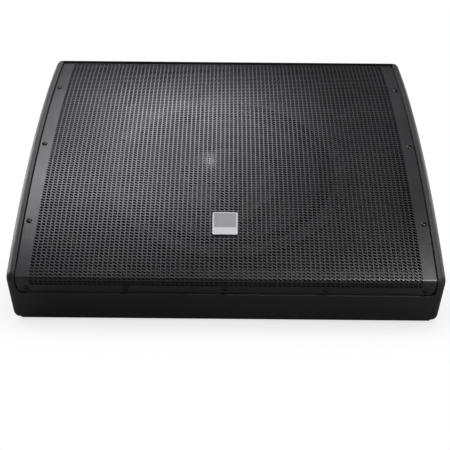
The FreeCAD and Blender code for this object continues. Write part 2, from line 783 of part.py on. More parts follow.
# places of what the panel carries: X as seen along +Y, and Z
INPUT_AT = (95.0, 95.0)
LINK_AT = (60.0, 95.0)
KNOB_AT = ((22.0, 95.0), (-8.0, 95.0), (-38.0, 95.0))
BUTTON_AT = (22.0, 68.0)
LAMP_AT = ((-8.0, 68.0), (-23.0, 68.0), (-38.0, 68.0))
SWITCH_AT = (-78.0, 95.0)
INLET_AT = (-118.0, 95.0)
SOCKET_R = 12.0
JACK_R = 3.3
KNOB_R = 8.5
BUTTON_R = 4.0
LAMP_R = 2.5
SWITCH = (21.0, 28.0)
INLET = (27.0, 47.0)


def amp_plate():
    """Aluminium panel with a hole for everything it carries."""
    w, t, h = PLATE
    plate = block((-w / 2, PLATE_IN, PLATE_Z - h / 2), (w / 2, PLATE_OUT, PLATE_Z + h / 2))
    plate = round_along(plate, 5.0, (0, 1, 0))
    holes = [(INPUT_AT, SOCKET_R + 0.2), (LINK_AT, SOCKET_R + 0.2), (BUTTON_AT, BUTTON_R + 0.4)]
    holes += [(spot, 3.6) for spot in KNOB_AT]
    holes += [(spot, LAMP_R + 0.1) for spot in LAMP_AT]
    holes += [(spot, SCREW_R + 0.3) for spot in plate_screw_places()]
    for (x, z), r in holes:
        plate = plate.cut(rod(r, 20, (x, PLATE_IN - 5, z), (0, 1, 0)))
    x, z = INPUT_AT
    plate = plate.cut(block((x - 3.3, PLATE_IN - 1, z + 9.9), (x + 3.3, PLATE_OUT + 1, z + 14.2)))
    for spot, (cut_w, cut_h) in ((SWITCH_AT, SWITCH), (INLET_AT, INLET)):
        plate = plate.cut(slab(spot, cut_w + 0.4, cut_h + 0.4, PLATE_IN - 5, PLATE_OUT + 5))
    return plate


def amp_screws():
    screws = []
    for x, z in plate_screw_places():
        screws.append(pan_screw((x, PLATE_OUT, z), (0, -1, 0)))
    return Part.makeCompound(screws)


def heatsink():
    """Finned block on the upper half of the panel."""
    x1 = 126.0
    z0 = 146.0
    z1 = 240.0
    sink = block((-x1, PLATE_OUT, z0), (x1, PLATE_OUT + 2.5, z1))
    count = 22
    fins = []
    for i in range(count):
        x = -x1 + 2 + i * (2 * x1 - 4 - 2.2) / (count - 1)
        fins.append(block((x, PLATE_OUT + 2.4, z0), (x + 2.2, BACK_Y - 0.6, z1)))
    return sink.multiFuse(fins).removeSplitter()


def socket(spot, pins):
    """Round signal socket: open with three pins, or closed with a jack hole."""
    x, z = spot
    flange = round_along(slab(spot, 26, 31, PLATE_OUT, PLATE_OUT + 1.6), 3.0, (0, 1, 0))
    barrel = rod(SOCKET_R, 24, (x, PLATE_IN - 21, z), (0, 1, 0))
    body = flange.fuse(barrel).removeSplitter()
    if pins:
        body = body.cut(rod(9.6, 16, (x, PLATE_OUT + 1.6 - 14, z), (0, 1, 0)))
        for i in range(3):
            turn = math.radians(90 + i * 120)
            px = x + 5 * math.cos(turn)
            pz = z + 5 * math.sin(turn)
            body = body.fuse(rod(1.2, 14, (px, PLATE_OUT - 13.4, pz), (0, 1, 0)))
    else:
        body = body.cut(rod(JACK_R, 18, (x, PLATE_OUT - 14, z), (0, 1, 0)))
        body = body.cut(block((x - 3.3, PLATE_IN - 12, z + 9.9), (x + 3.3, PLATE_OUT + 3, z + 14.2)))
    return body


def socket_latch():
    """Release tab of the input socket."""
    x, z = INPUT_AT
    tab = block((x - 3, PLATE_OUT - 9, z + 10.2), (x + 3, PLATE_OUT + 4.6, z + 13.9))
    return fillet_at(tab, 1.2, (x, PLATE_OUT + 4.6, z + 13.9))


def knob(spot):
    """Fluted control knob with a pointer groove."""
    x, z = spot
    body = rod(KNOB_R, BACK_Y - 0.8 - PLATE_OUT - 0.6, (x, PLATE_OUT + 0.6, z), (0, 1, 0))
    for i in range(12):
        turn = math.radians(15 + 30 * i)
        gx = x + (KNOB_R + 0.7) * math.cos(turn)
        gz = z + (KNOB_R + 0.7) * math.sin(turn)
        body = body.cut(rod(1.4, 20, (gx, PLATE_OUT + 2.0, gz), (0, 1, 0)))
    body = body.cut(block((x - 0.5, BACK_Y - 1.5, z + 1.5), (x + 0.5, BACK_Y, z + KNOB_R + 1)))
    return body.cut(rod(3.05, 5.0, (x, PLATE_OUT - 1, z), (0, 1, 0)))


def potentiometer(spot):
    x, z = spot
    can = rod(8.0, 9.0, (x, PLATE_IN - 9.0, z), (0, 1, 0))
    bush = rod(3.5, PLATE[1], (x, PLATE_IN, z), (0, 1, 0))
    shaft = rod(3.0, 3.4, (x, PLATE_OUT, z), (0, 1, 0))
    return can.fuse(bush).fuse(shaft).removeSplitter()


def mode_button():
    x, z = BUTTON_AT
    cap = rod(BUTTON_R, 8.0, (x, PLATE_OUT - 4.4, z), (0, 1, 0))
    return fillet_at(cap, 0.8, (x - BUTTON_R, PLATE_OUT + 3.6, z))


def button_switch():
    """Switch can behind the mode button."""
    x, z = BUTTON_AT
    can = slab(BUTTON_AT, 12, 12, PLATE_IN - 14, PLATE_IN)
    return can.cut(rod(BUTTON_R + 0.4, 6.0, (x, PLATE_IN - 5.0, z), (0, 1, 0)))


def lamps():
    lenses = []
    for x, z in LAMP_AT:
        stem = rod(LAMP_R, 6.0, (x, PLATE_OUT - 6.0, z), (0, 1, 0))
        dome = Part.makeSphere(LAMP_R, V(x, PLATE_OUT, z), V(0, 1, 0), 0, 90, 360)
        lenses.append(stem.fuse(dome).removeSplitter())
    return Part.makeCompound(lenses)


def switch_frame():
    """Frame of the rocker switch."""
    w, h = SWITCH
    rim = slab(SWITCH_AT, w + 3, h + 3, PLATE_OUT, PLATE_OUT + 2)
    box = slab(SWITCH_AT, w, h, PLATE_IN - 18, PLATE_OUT)
    well = slab(SWITCH_AT, w - 4, h - 4, PLATE_OUT - 10, PLATE_OUT + 3)
    return rim.fuse(box).removeSplitter().cut(well)


ROCKER_TILT = 8.0
ROCKER_PIVOT = PLATE_OUT - 4.0


def power_rocker():
    """Rocker, resting tipped to its off side."""
    x, z = SWITCH_AT
    w = SWITCH[0] / 2 - 2.5
    h = SWITCH[1] / 2 - 3.2
    top = PLATE_OUT + 2.2
    cap = block((x - w, ROCKER_PIVOT - 3, z - h), (x + w, top + 3, z + h))
    scoop = rod(70.0, 60, (x - 30, top + 70.0, z), (1, 0, 0))
    cap = cap.cut(scoop)
    cap.rotate(V(x, ROCKER_PIVOT, z), V(1, 0, 0), ROCKER_TILT)
    return cap


def mains_inlet():
    """Recessed mains socket with three blades."""
    x, z = INLET_AT
    w, h = INLET
    rim = slab(INLET_AT, w + 3, h + 3, PLATE_OUT, PLATE_OUT + 2)
    box = slab(INLET_AT, w, h, PLATE_IN - 24, PLATE_OUT)
    well = slab(INLET_AT, 17, 25, PLATE_OUT - 16, PLATE_OUT + 3)
    body = rim.fuse(box).removeSplitter().cut(well)
    for dx, dz in ((0, -7), (0, 7), (4, 0)):
        body = body.fuse(slab((x + dx, z + dz), 2, 4, PLATE_OUT - 16.5, PLATE_OUT - 1))
    return body


BOARD_Y = PLATE_IN - 42.0


def board(z0, z1):
    """Circuit board parallel to the panel."""
    return block((-115, BOARD_Y, z0), (115, BOARD_Y + 1.6, z1))


def board_spacers():
    pillars = []
    for x in (-108, 108):
        for z in (64, 124, 138, 234):
            pillars.append(rod(3.5, PLATE_IN - BOARD_Y - 1.6, (x, BOARD_Y + 1.6, z), (0, 1, 0)))
    return Part.makeCompound(pillars)


def capacitors():
    cans = []
    for x in (-80, -44):
        cans.append(rod(15, 42, (x, BOARD_Y - 42, 94), (0, 1, 0)))
    return Part.makeCompound(cans)


def transformer():
    """Switching transformer: a core with its winding."""
    core = block((30, BOARD_Y - 36, 68), (86, BOARD_Y, 120))
    window = block((40, BOARD_Y - 40, 78), (76, BOARD_Y + 1, 110))
    coil = block((42, BOARD_Y - 34, 72), (74, BOARD_Y - 2, 116))
    return core.cut(window).fuse(coil).removeSplitter()


def write(name, shape):
    shape.exportStep("parts/" + name + ".step")
    print(name, len(shape.Solids), shape.isValid(), round(shape.Volume))


def main():
    os.makedirs("parts", exist_ok=True)
    panel = side_panel_with_handle()
    for seat in handle_screw_seats():
        panel = panel.cut(seat)
    cup = handle_cup()
    bar = handle_bar()
    rail = front_rail()
    for x in LIP_SCREW_X:
        rail = rail.cut(lip_rod(x))
    strip = batten_side()
    write("side_panel_right", panel)
    write("side_panel_left", mirrored(panel))
    write("front_rail", rail)
    write("base_panel", base_panel())
    write("back_panel", back_panel())
    write("top_panel", top_panel())
    write("baffle", baffle())
    write("batten_right", strip)
    write("batten_left", mirrored(strip))
    write("batten_rear", batten_rear())
    write("grille", grille())
    write("grille_screws", grille_screws())
    write("badge_plate", badge_plate())
    write("badge_inlay", badge_inlay())
    names = ("foot_front_left", "foot_rear_left", "foot_front_right", "foot_rear_right")
    for name, (x, y) in zip(names, foot_places()):
        write(name, foot(x, y))
    write("foot_screws", foot_screws())
    write("handle_cup_right", cup)
    write("handle_cup_left", mirrored(cup))
    write("handle_bar_right", bar)
    write("handle_bar_left", mirrored(bar))
    write("handle_screws", Part.makeCompound(handle_screws(1) + handle_screws(-1)))
    write("port_tube_right", port_tube(1))
    write("port_tube_left", port_tube(-1))
    write("woofer_frame", woofer_frame())
    write("woofer_screws", woofer_screws())
    write("surround", surround())
    write("cone", cone())
    write("voice_coil", voice_coil())
    write("spider", spider())
    write("front_plate", front_plate())
    write("magnet_ring", magnet_ring())
    write("pole_piece", pole_piece())
    write("horn", horn())
    write("hf_body", hf_body())
    write("hf_diaphragm", hf_diaphragm())
    write("hf_cover", hf_cover())
    write("amp_plate", amp_plate())
    write("amp_screws", amp_screws())
    write("heatsink", heatsink())
    write("input_socket", socket(INPUT_AT, False))
    write("link_socket", socket(LINK_AT, True))
    write("socket_latch", socket_latch())
    for name, spot in zip(("level_knob", "low_knob", "high_knob"), KNOB_AT):
        write(name, knob(spot))
    write("potentiometers", Part.makeCompound([potentiometer(spot) for spot in KNOB_AT]))
    write("mode_button", mode_button())
    write("button_switch", button_switch())
    write("lamps", lamps())
    write("switch_frame", switch_frame())
    write("power_rocker", power_rocker())
    write("mains_inlet", mains_inlet())
    write("amp_board", board(130, 240))
    write("supply_board", board(58, 128))
    write("board_spacers", board_spacers())
    write("capacitors", capacitors())
    write("transformer", transformer())


main()
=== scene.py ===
import json
import math
import bmesh
import bpy
from mathutils import Matrix, Vector


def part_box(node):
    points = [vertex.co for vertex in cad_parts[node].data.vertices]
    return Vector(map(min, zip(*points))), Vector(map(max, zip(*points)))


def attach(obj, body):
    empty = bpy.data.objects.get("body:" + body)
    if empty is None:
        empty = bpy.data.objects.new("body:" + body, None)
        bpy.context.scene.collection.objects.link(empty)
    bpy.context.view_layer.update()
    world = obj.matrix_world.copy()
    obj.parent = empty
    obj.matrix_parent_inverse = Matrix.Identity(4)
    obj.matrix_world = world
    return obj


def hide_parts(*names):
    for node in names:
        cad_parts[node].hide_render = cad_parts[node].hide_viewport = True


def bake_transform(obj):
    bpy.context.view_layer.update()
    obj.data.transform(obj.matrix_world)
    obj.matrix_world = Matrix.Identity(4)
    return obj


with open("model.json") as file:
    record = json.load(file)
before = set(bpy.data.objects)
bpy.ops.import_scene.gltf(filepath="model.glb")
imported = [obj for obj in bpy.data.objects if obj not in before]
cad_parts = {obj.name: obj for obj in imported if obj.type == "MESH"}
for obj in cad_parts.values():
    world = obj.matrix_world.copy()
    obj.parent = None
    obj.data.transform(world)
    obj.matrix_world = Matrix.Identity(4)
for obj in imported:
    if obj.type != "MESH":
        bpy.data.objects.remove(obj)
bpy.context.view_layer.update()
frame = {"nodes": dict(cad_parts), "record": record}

# ---- driving values, in metres and radians, as in the CAD model ----

# the cabinet's section: an arched slope, then the front wall that leans back under it
SLOPE = math.radians(35.0)
CHORD = 0.528
TURN = math.radians(24.2)
WALL_TURN = math.radians(56.6)
FRONT_Y = -0.240
FRONT_Z = 0.004 + 0.081 * math.sin(WALL_TURN)

# the grille's sheet, 1.5 mm in the CAD model but thinner here: its holes stay open at a low view
SHEET = 0.0010
BEND_R = 0.005
LIP = 0.027
LIP_CORNER = 0.008

# where the loudspeaker sits on the baffle, measured up the slope
BAFFLE_DROP = 0.010
WOOFER_S = 0.246

# the knobs, in a row across the amplifier panel
KNOB_X = 0.022
KNOB_Z = 0.095
KNOB_PITCH = 0.030

UP_SLOPE = Vector((0, math.cos(SLOPE), math.sin(SLOPE)))
OUT_SLOPE = Vector((0, -math.sin(SLOPE), math.cos(SLOPE)))
DOWN_WALL = Vector((0, math.cos(WALL_TURN), -math.sin(WALL_TURN)))
INTO_WALL = Vector((0, math.sin(WALL_TURN), math.cos(WALL_TURN)))
FRONT = Vector((0, FRONT_Y, FRONT_Z))
ARC_R = CHORD / 2 / math.sin(TURN / 2)
ARC_C = FRONT + UP_SLOPE * CHORD / 2 - OUT_SLOPE * ARC_R * math.cos(TURN / 2)


# ---- materials ----

def nodes_of(name):
    """A new material, its node tree, its shader and its object coordinates."""
    mat = bpy.data.materials.new(name)
    mat.use_nodes = True
    tree = mat.node_tree
    shader = tree.nodes["Principled BSDF"]
    coords = tree.nodes.new("ShaderNodeTexCoord")
    return mat, tree, shader, coords.outputs["Object"]


def coords_of(tree):
    """The object coordinates that a material made by nodes_of already has."""
    return next(n for n in tree.nodes if n.type == "TEX_COORD").outputs["Object"]


def feed(tree, socket, value):
    """Links an output to a socket, or sets the socket to a constant."""
    if isinstance(value, bpy.types.NodeSocket):
        tree.links.new(value, socket)
    else:
        socket.default_value = value


def calc(tree, operation, *values):
    """Math node on sockets or numbers."""
    node = tree.nodes.new("ShaderNodeMath")
    node.operation = operation
    for socket, value in zip(node.inputs, values):
        feed(tree, socket, value)
    return node.outputs["Value"]


def vector_calc(tree, operation, *values, result="Vector"):
    """Vector math node on sockets or constant vectors."""
    node = tree.nodes.new("ShaderNodeVectorMath")
    node.operation = operation
    for socket, value in zip(node.inputs, values):
        feed(tree, socket, value)
    return node.outputs[result]


def mixed(tree, factor, a, b):
    """Colour a where the factor is 0, b where it is 1."""
    node = tree.nodes.new("ShaderNodeMix")
    node.data_type = "RGBA"
    feed(tree, node.inputs["Factor"], factor)
    feed(tree, node.inputs["A"], a)
    feed(tree, node.inputs["B"], b)
    return node.outputs["Result"]


def noise(tree, vector, scale, detail=3.0, rough=0.5, stretch=None):
    """Noise texture, its coordinates stretched if asked."""
    if stretch:
        mapping = tree.nodes.new("ShaderNodeMapping")
        mapping.inputs["Scale"].default_value = stretch
        tree.links.new(vector, mapping.inputs["Vector"])
        vector = mapping.outputs["Vector"]
    tex = tree.nodes.new("ShaderNodeTexNoise")
    tex.inputs["Scale"].default_value = scale
    tex.inputs["Detail"].default_value = detail
    tex.inputs["Roughness"].default_value = rough
    tree.links.new(vector, tex.inputs["Vector"])
    return tex.outputs["Fac"]


def bump(tree, shader, height, distance, strength=1.0, normal=None):
    """Relief on the shader, over an earlier relief if its normal is given."""
    node = tree.nodes.new("ShaderNodeBump")
    node.inputs["Distance"].default_value = distance
    node.inputs["Strength"].default_value = strength
    tree.links.new(height, node.inputs["Height"])
    if normal:
        tree.links.new(normal, node.inputs["Normal"])
    tree.links.new(node.outputs["Normal"], shader.inputs["Normal"])
    return node.outputs["Normal"]


def ramp(tree, fac, low, high, low_at=0.35, high_at=0.65):
    """Colour ramp between two colours."""
    node = tree.nodes.new("ShaderNodeValToRGB")
    node.color_ramp.elements[0].position = low_at
    node.color_ramp.elements[0].color = (*low, 1)
    node.color_ramp.elements[1].position = high_at
    node.color_ramp.elements[1].color = (*high, 1)
    tree.links.new(fac, node.inputs["Fac"])
    return node.outputs["Color"]


def spread(tree, fac, low, high, from_low=0.3, from_high=0.7):
    """Maps a value to the range low to high; unless told, from the range that noise covers."""
    node = tree.nodes.new("ShaderNodeMapRange")
    node.inputs["From Min"].default_value = from_low
    node.inputs["From Max"].default_value = from_high
    node.inputs["To Min"].default_value = low
    node.inputs["To Max"].default_value = high
    tree.links.new(fac, node.inputs["Value"])
    return node.outputs["Result"]


def shade(color, factor):
    """The colour, darker or lighter by a factor."""
    return tuple(c * factor for c in color)


def finish_of(name, color, rough, metal=0.0, specular=0.5, grain=900.0, grain_depth=0.00004,
              patch=14.0, patch_tone=0.12, rough_tone=0.05, stretch=None):
    """General finish: slow colour and gloss changes, and a fine grain in relief."""
    mat, tree, shader, vector = nodes_of(name)
    shader.inputs["Metallic"].default_value = metal
    shader.inputs["Specular IOR Level"].default_value = specular
    slow = noise(tree, vector, patch, detail=4.0, rough=0.55)
    fine = noise(tree, vector, grain, detail=2.0, rough=0.6, stretch=stretch)
    tone = ramp(tree, slow, shade(color, 1 - patch_tone), shade(color, 1 + patch_tone))
    tree.links.new(tone, shader.inputs["Base Color"])
    gloss = spread(tree, slow, rough - rough_tone, rough + rough_tone)
    tree.links.new(gloss, shader.inputs["Roughness"])
    bump(tree, shader, fine, grain_depth)
    return mat


POINTER_WIDTH = 0.0012
POINTER_START = 0.0015          # from the knob's centre
POINTER_WHITE = (0.7, 0.7, 0.7, 1)


def knob_finish():
    """Knob plastic with a white pointer line from each knob's centre upwards."""
    mat = finish_of("knob_black", (0.016, 0.016, 0.016), 0.45, grain=2500)
    tree = mat.node_tree
    color = tree.nodes["Principled BSDF"].inputs["Base Color"]
    split = tree.nodes.new("ShaderNodeSeparateXYZ")
    tree.links.new(coords_of(tree), split.inputs["Vector"])
    across = calc(tree, "SUBTRACT", split.outputs["X"], KNOB_X)
    off_centre = calc(tree, "PINGPONG", across, KNOB_PITCH / 2)
    on_line = calc(tree, "LESS_THAN", off_centre, POINTER_WIDTH / 2)
    above = calc(tree, "GREATER_THAN", split.outputs["Z"], KNOB_Z + POINTER_START)
    pointer = calc(tree, "MULTIPLY", on_line, above)
    plastic = color.links[0].from_socket
    tree.links.new(mixed(tree, pointer, plastic, POINTER_WHITE), color)
    return mat


# how far a face points straight outwards, from 0 to 1
WALL_FACING = 0.05              # below this it is the wall of a hole
UNSHADED_FACING = 0.15            # above this it carries no painted shade
# painted shade: near-black colour put on the walls of the holes, which carry the same coat as the
# sheet
WALL_PAINTED_SHADE = (0.004, 0.004, 0.004, 1)
WALL_ROUGH = (1, 1, 1, 1)


def grille_coat_and_hole_shade():
    """Powder coat of the grille, with painted shade in the holes: their walls get a near-black
    colour and full roughness.
    """
    mat = finish_of("grille_coat_and_hole_shade", (0.018, 0.0178, 0.0193), 0.36, grain=2200, grain_depth=0.00002,
                    patch=8, patch_tone=0.08)
    tree = mat.node_tree
    shader = tree.nodes["Principled BSDF"]
    normal = tree.nodes.new("ShaderNodeNewGeometry").outputs["True Normal"]
    place = vector_calc(tree, "SUBTRACT", coords_of(tree), ARC_C)
    in_section = vector_calc(tree, "MULTIPLY", place, (0, 1, 1))
    outwards = vector_calc(tree, "NORMALIZE", in_section)
    facing = vector_calc(tree, "DOT_PRODUCT", outwards, normal, result="Value")
    # painted shade mask: 0 on the walls of the holes, 1 on the faces that point outwards
    unshaded = spread(tree, calc(tree, "ABSOLUTE", facing), 0.0, 1.0, WALL_FACING, UNSHADED_FACING)
    for name, wall in (("Base Color", WALL_PAINTED_SHADE), ("Roughness", WALL_ROUGH)):
        coat = shader.inputs[name].links[0].from_socket
        tree.links.new(mixed(tree, unshaded, wall, coat), shader.inputs[name])
    return mat


PEBBLE_SCALE = 620.0
PEBBLE_DEPTH = 0.00018
PEBBLE_GRAIN = 0.00004
PEBBLE_DARK = (0.012, 0.0122, 0.0126)
PEBBLE_PALE = (0.018, 0.0183, 0.019)


def pebble_coat():
    """Textured cabinet coating: small rounded pebbles over the plywood."""
    mat, tree, shader, vector = nodes_of("pebble_coat")
    shader.inputs["Specular IOR Level"].default_value = 0.5
    cells = tree.nodes.new("ShaderNodeTexVoronoi")
    cells.inputs["Scale"].default_value = PEBBLE_SCALE
    cells.inputs["Randomness"].default_value = 1.0
    tree.links.new(vector, cells.inputs["Vector"])
    slow = noise(tree, vector, 9.0, detail=4.0, rough=0.6)
    fine = noise(tree, vector, 1500.0, detail=2.0)
    tree.links.new(ramp(tree, slow, PEBBLE_DARK, PEBBLE_PALE), shader.inputs["Base Color"])
    tree.links.new(spread(tree, slow, 0.54, 0.64), shader.inputs["Roughness"])
    pebbles = bump(tree, shader, cells.outputs["Distance"], PEBBLE_DEPTH, strength=0.6)
    bump(tree, shader, fine, PEBBLE_GRAIN, strength=0.5, normal=pebbles)
    return mat


MATERIALS = {
    "cabinet_paint": pebble_coat(),
    "baffle_paint": finish_of("matt_black", (0.006, 0.006, 0.0062), 0.8, specular=0.3, grain=700),
    # the grille's coat, with painted shade on the walls of its holes
    "grille_steel": grille_coat_and_hole_shade(),
    "black_screw": finish_of("screw_black", (0.02, 0.02, 0.021), 0.35, metal=0.6, grain=3000),
    "zinc_screw": finish_of("screw_zinc", (0.55, 0.56, 0.57), 0.32, metal=1.0, grain=3000),
    "badge_metal": finish_of("badge_silver", (0.40, 0.40, 0.41), 0.42, metal=0.4, grain=900,
                             stretch=(0.05, 1, 1)),
    "badge_dark": finish_of("badge_grey", (0.22, 0.22, 0.225), 0.38, grain=1500),
    "foot_rubber": finish_of("rubber", (0.018, 0.018, 0.018), 0.7, specular=0.3, grain=1400),
    "handle_steel": finish_of("handle_coat", (0.016, 0.016, 0.0165), 0.42, grain=1600),
    "grip_rubber": finish_of("grip", (0.015, 0.015, 0.015), 0.6, specular=0.35, grain=1800,
                             grain_depth=0.00008),
    "port_plastic": finish_of("port_black", (0.010, 0.010, 0.010), 0.5, grain=1200),
    "cast_frame": finish_of("cast_black", (0.010, 0.010, 0.0105), 0.6, specular=0.3, grain=1500,
                            grain_depth=0.00006),
    "surround_cloth": finish_of("surround_doped", (0.006, 0.006, 0.006), 0.8, specular=0.15,
                                grain=1700),
    "cone_paper": finish_of("cone_pulp", (0.013, 0.013, 0.0133), 0.75, specular=0.25, grain=420,
                            grain_depth=0.00015, patch=40),
    "coil_wire": finish_of("coil_former", (0.07, 0.045, 0.03), 0.5, grain=2500),
    "spider_cloth": finish_of("spider_weave", (0.42, 0.30, 0.13), 0.8, grain=1800),
    "magnet_steel": finish_of("steel_black", (0.03, 0.03, 0.03), 0.45, grain=1200),
    "magnet": finish_of("nickel", (0.45, 0.44, 0.42), 0.3, metal=1.0, grain=1500),
    "horn_plastic": finish_of("horn_black", (0.014, 0.014, 0.015), 0.28, grain=1200,
                              grain_depth=0.00001),
    "diaphragm_metal": finish_of("dome_metal", (0.70, 0.69, 0.66), 0.3, metal=1.0),
    "driver_cover": finish_of("cover_black", (0.03, 0.03, 0.032), 0.4, metal=0.4),
    "panel_aluminium": finish_of("panel_black", (0.022, 0.022, 0.023), 0.36, metal=0.3, grain=1800,
                                 grain_depth=0.00002),
    "heatsink_aluminium": finish_of("sink_black", (0.02, 0.02, 0.021), 0.34, metal=0.5,
                                    grain=900, stretch=(1, 1, 0.04)),
    "socket_shell": finish_of("socket_black", (0.03, 0.03, 0.032), 0.3, metal=0.6),
    "latch_metal": finish_of("latch_nickel", (0.6, 0.6, 0.6), 0.28, metal=1.0),
    "knob_plastic": knob_finish(),
    "part_plastic": finish_of("moulded_black", (0.014, 0.014, 0.014), 0.4, grain=2500),
    "rocker_plastic": finish_of("rocker_black", (0.012, 0.012, 0.012), 0.22, grain=2500),
    "lens": finish_of("lens_green", (0.05, 0.42, 0.10), 0.2, grain=1500),
    "pot_metal": finish_of("pot_zinc", (0.6, 0.6, 0.58), 0.35, metal=1.0),
    "circuit_board": finish_of("board_green", (0.02, 0.13, 0.05), 0.35, patch=90,
                               patch_tone=0.3),
    "capacitor_sleeve": finish_of("sleeve", (0.02, 0.02, 0.05), 0.3),
    "transformer_tape": finish_of("tape_yellow", (0.5, 0.36, 0.04), 0.4),
}


def dress_cad():
    """Gives every CAD node its procedural finish."""
    for entry in frame["record"]["subparts"]:
        mesh = frame["nodes"][entry["node"]].data
        mesh.materials.clear()
        mesh.materials.append(MATERIALS[entry["material_slot"]])


# ---- mesh helpers ----

SHARP = math.radians(30)


def shown(name, mesh, slot):
    """An object of the mesh, smooth but for its sharp edges."""
    mesh.shade_smooth()
    mesh.set_sharp_from_angle(angle=SHARP)
    mesh.materials.append(MATERIALS[slot])
    obj = bpy.data.objects.new(name, mesh)
    bpy.context.scene.collection.objects.link(obj)
    return obj


def piece(name, verts, faces, slot, body="cabinet", stands_for=()):
    """An object from vertices and faces, riding on a body if one is given."""
    mesh = bpy.data.meshes.new(name)
    mesh.from_pydata(verts, [], faces)
    mesh.validate()
    obj = shown(name, mesh, slot)
    if body:
        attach(obj, body)
    if stands_for:
        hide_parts(*stands_for)
    return obj


def ring_at(turn, profile):
    """Points of a profile of (radius, height), turned to an angle about Z."""
    return [Vector((r * math.cos(turn), r * math.sin(turn), z)) for r, z in profile]


def lathe(profile, segments):
    """Vertices and faces of a closed profile of (radius, height) turned about Z."""
    verts = []
    faces = []
    count = len(profile)
    for i in range(segments):
        verts += ring_at(2 * math.pi * i / segments, profile)
    for i in range(segments):
        here = i * count
        there = (i + 1) % segments * count
        for j in range(count):
            k = (j + 1) % count
            faces.append((here + j, there + j, there + k, here + k))
    return verts, faces


def tilted(verts):
    """Moves points, modelled about +Z from the baffle's face, to the loudspeaker's place."""
    place = FRONT + UP_SLOPE * WOOFER_S - OUT_SLOPE * BAFFLE_DROP
    matrix = Matrix.Translation(place) @ Matrix.Rotation(SLOPE, 4, "X")
    return [matrix @ v for v in verts]


# ---- grille ----

COLUMNS = 81
ROWS = 104
COLUMN_PITCH = 0.0069
HOLE_SHARE = (0.43, 0.345)      # half of a hole, as a share of the pitch each way
HOLE_STRAIGHT = 0.5             # share of a hole's side between its cut corners
HOLE_SLANT = 0.35               # rise along the sheet per length across it
REAR_MARGIN = 0.004
FRONT_MARGIN = 0.0145
CORNER_STEPS = 7
BEND_CUTS = 8
CUT_REACH = 0.02                # faces this near to a cut may be divided by it
SAME_PLACE = 1e-7
PLACE_DIGITS = 7


def sheet_path():
    """Lengths of the grille's arch, bend and lip, and a function that follows its section."""
    inner = ARC_R - BEND_R
    # the bend's centre lies BEND_R behind the lip's face and ARC_R - BEND_R from the arch's centre
    start = FRONT + INTO_WALL * BEND_R
    offset = start - ARC_C
    half = offset.dot(DOWN_WALL)
    root = math.sqrt(half ** 2 - (offset.length_squared - inner ** 2))
    along = min((-half - root, -half + root), key=abs)
    bend_c = start + DOWN_WALL * along
    radial = (bend_c - ARC_C).normalized()
    rear = FRONT + UP_SLOPE * CHORD
    first = (rear - ARC_C).normalized()
    arch_angle = first.angle(radial)
    bend_angle = radial.angle(-INTO_WALL)
    lengths = (ARC_R * arch_angle, BEND_R * bend_angle, LIP - along)

    def turned(vector, angle):
        return Matrix.Rotation(angle, 3, "X") @ vector

    def at(v):
        """Outer point and outward normal, v along the sheet from its rear edge."""
        if v <= lengths[0]:
            out = turned(first, v / ARC_R)
            return ARC_C + out * ARC_R, out
        v -= lengths[0]
        if v <= lengths[1]:
            out = turned(radial, v / BEND_R)
            return bend_c + out * BEND_R, out
        v -= lengths[1]
        return bend_c - INTO_WALL * BEND_R + DOWN_WALL * v, -INTO_WALL

    return lengths, at


def hole_corners(row_pitch):
    """Eight corners of a hole about its centre, slanted across the sheet."""
    a = HOLE_SHARE[0] * COLUMN_PITCH
    b = HOLE_SHARE[1] * row_pitch
    short_a = a * HOLE_STRAIGHT
    short_b = b * HOLE_STRAIGHT
    corners = [(a, -short_b), (a, short_b), (short_a, b), (-short_a, b),
               (-a, short_b), (-a, -short_b), (-short_a, -b), (short_a, -b)]
    return [(x, y + HOLE_SLANT * x) for x, y in corners]


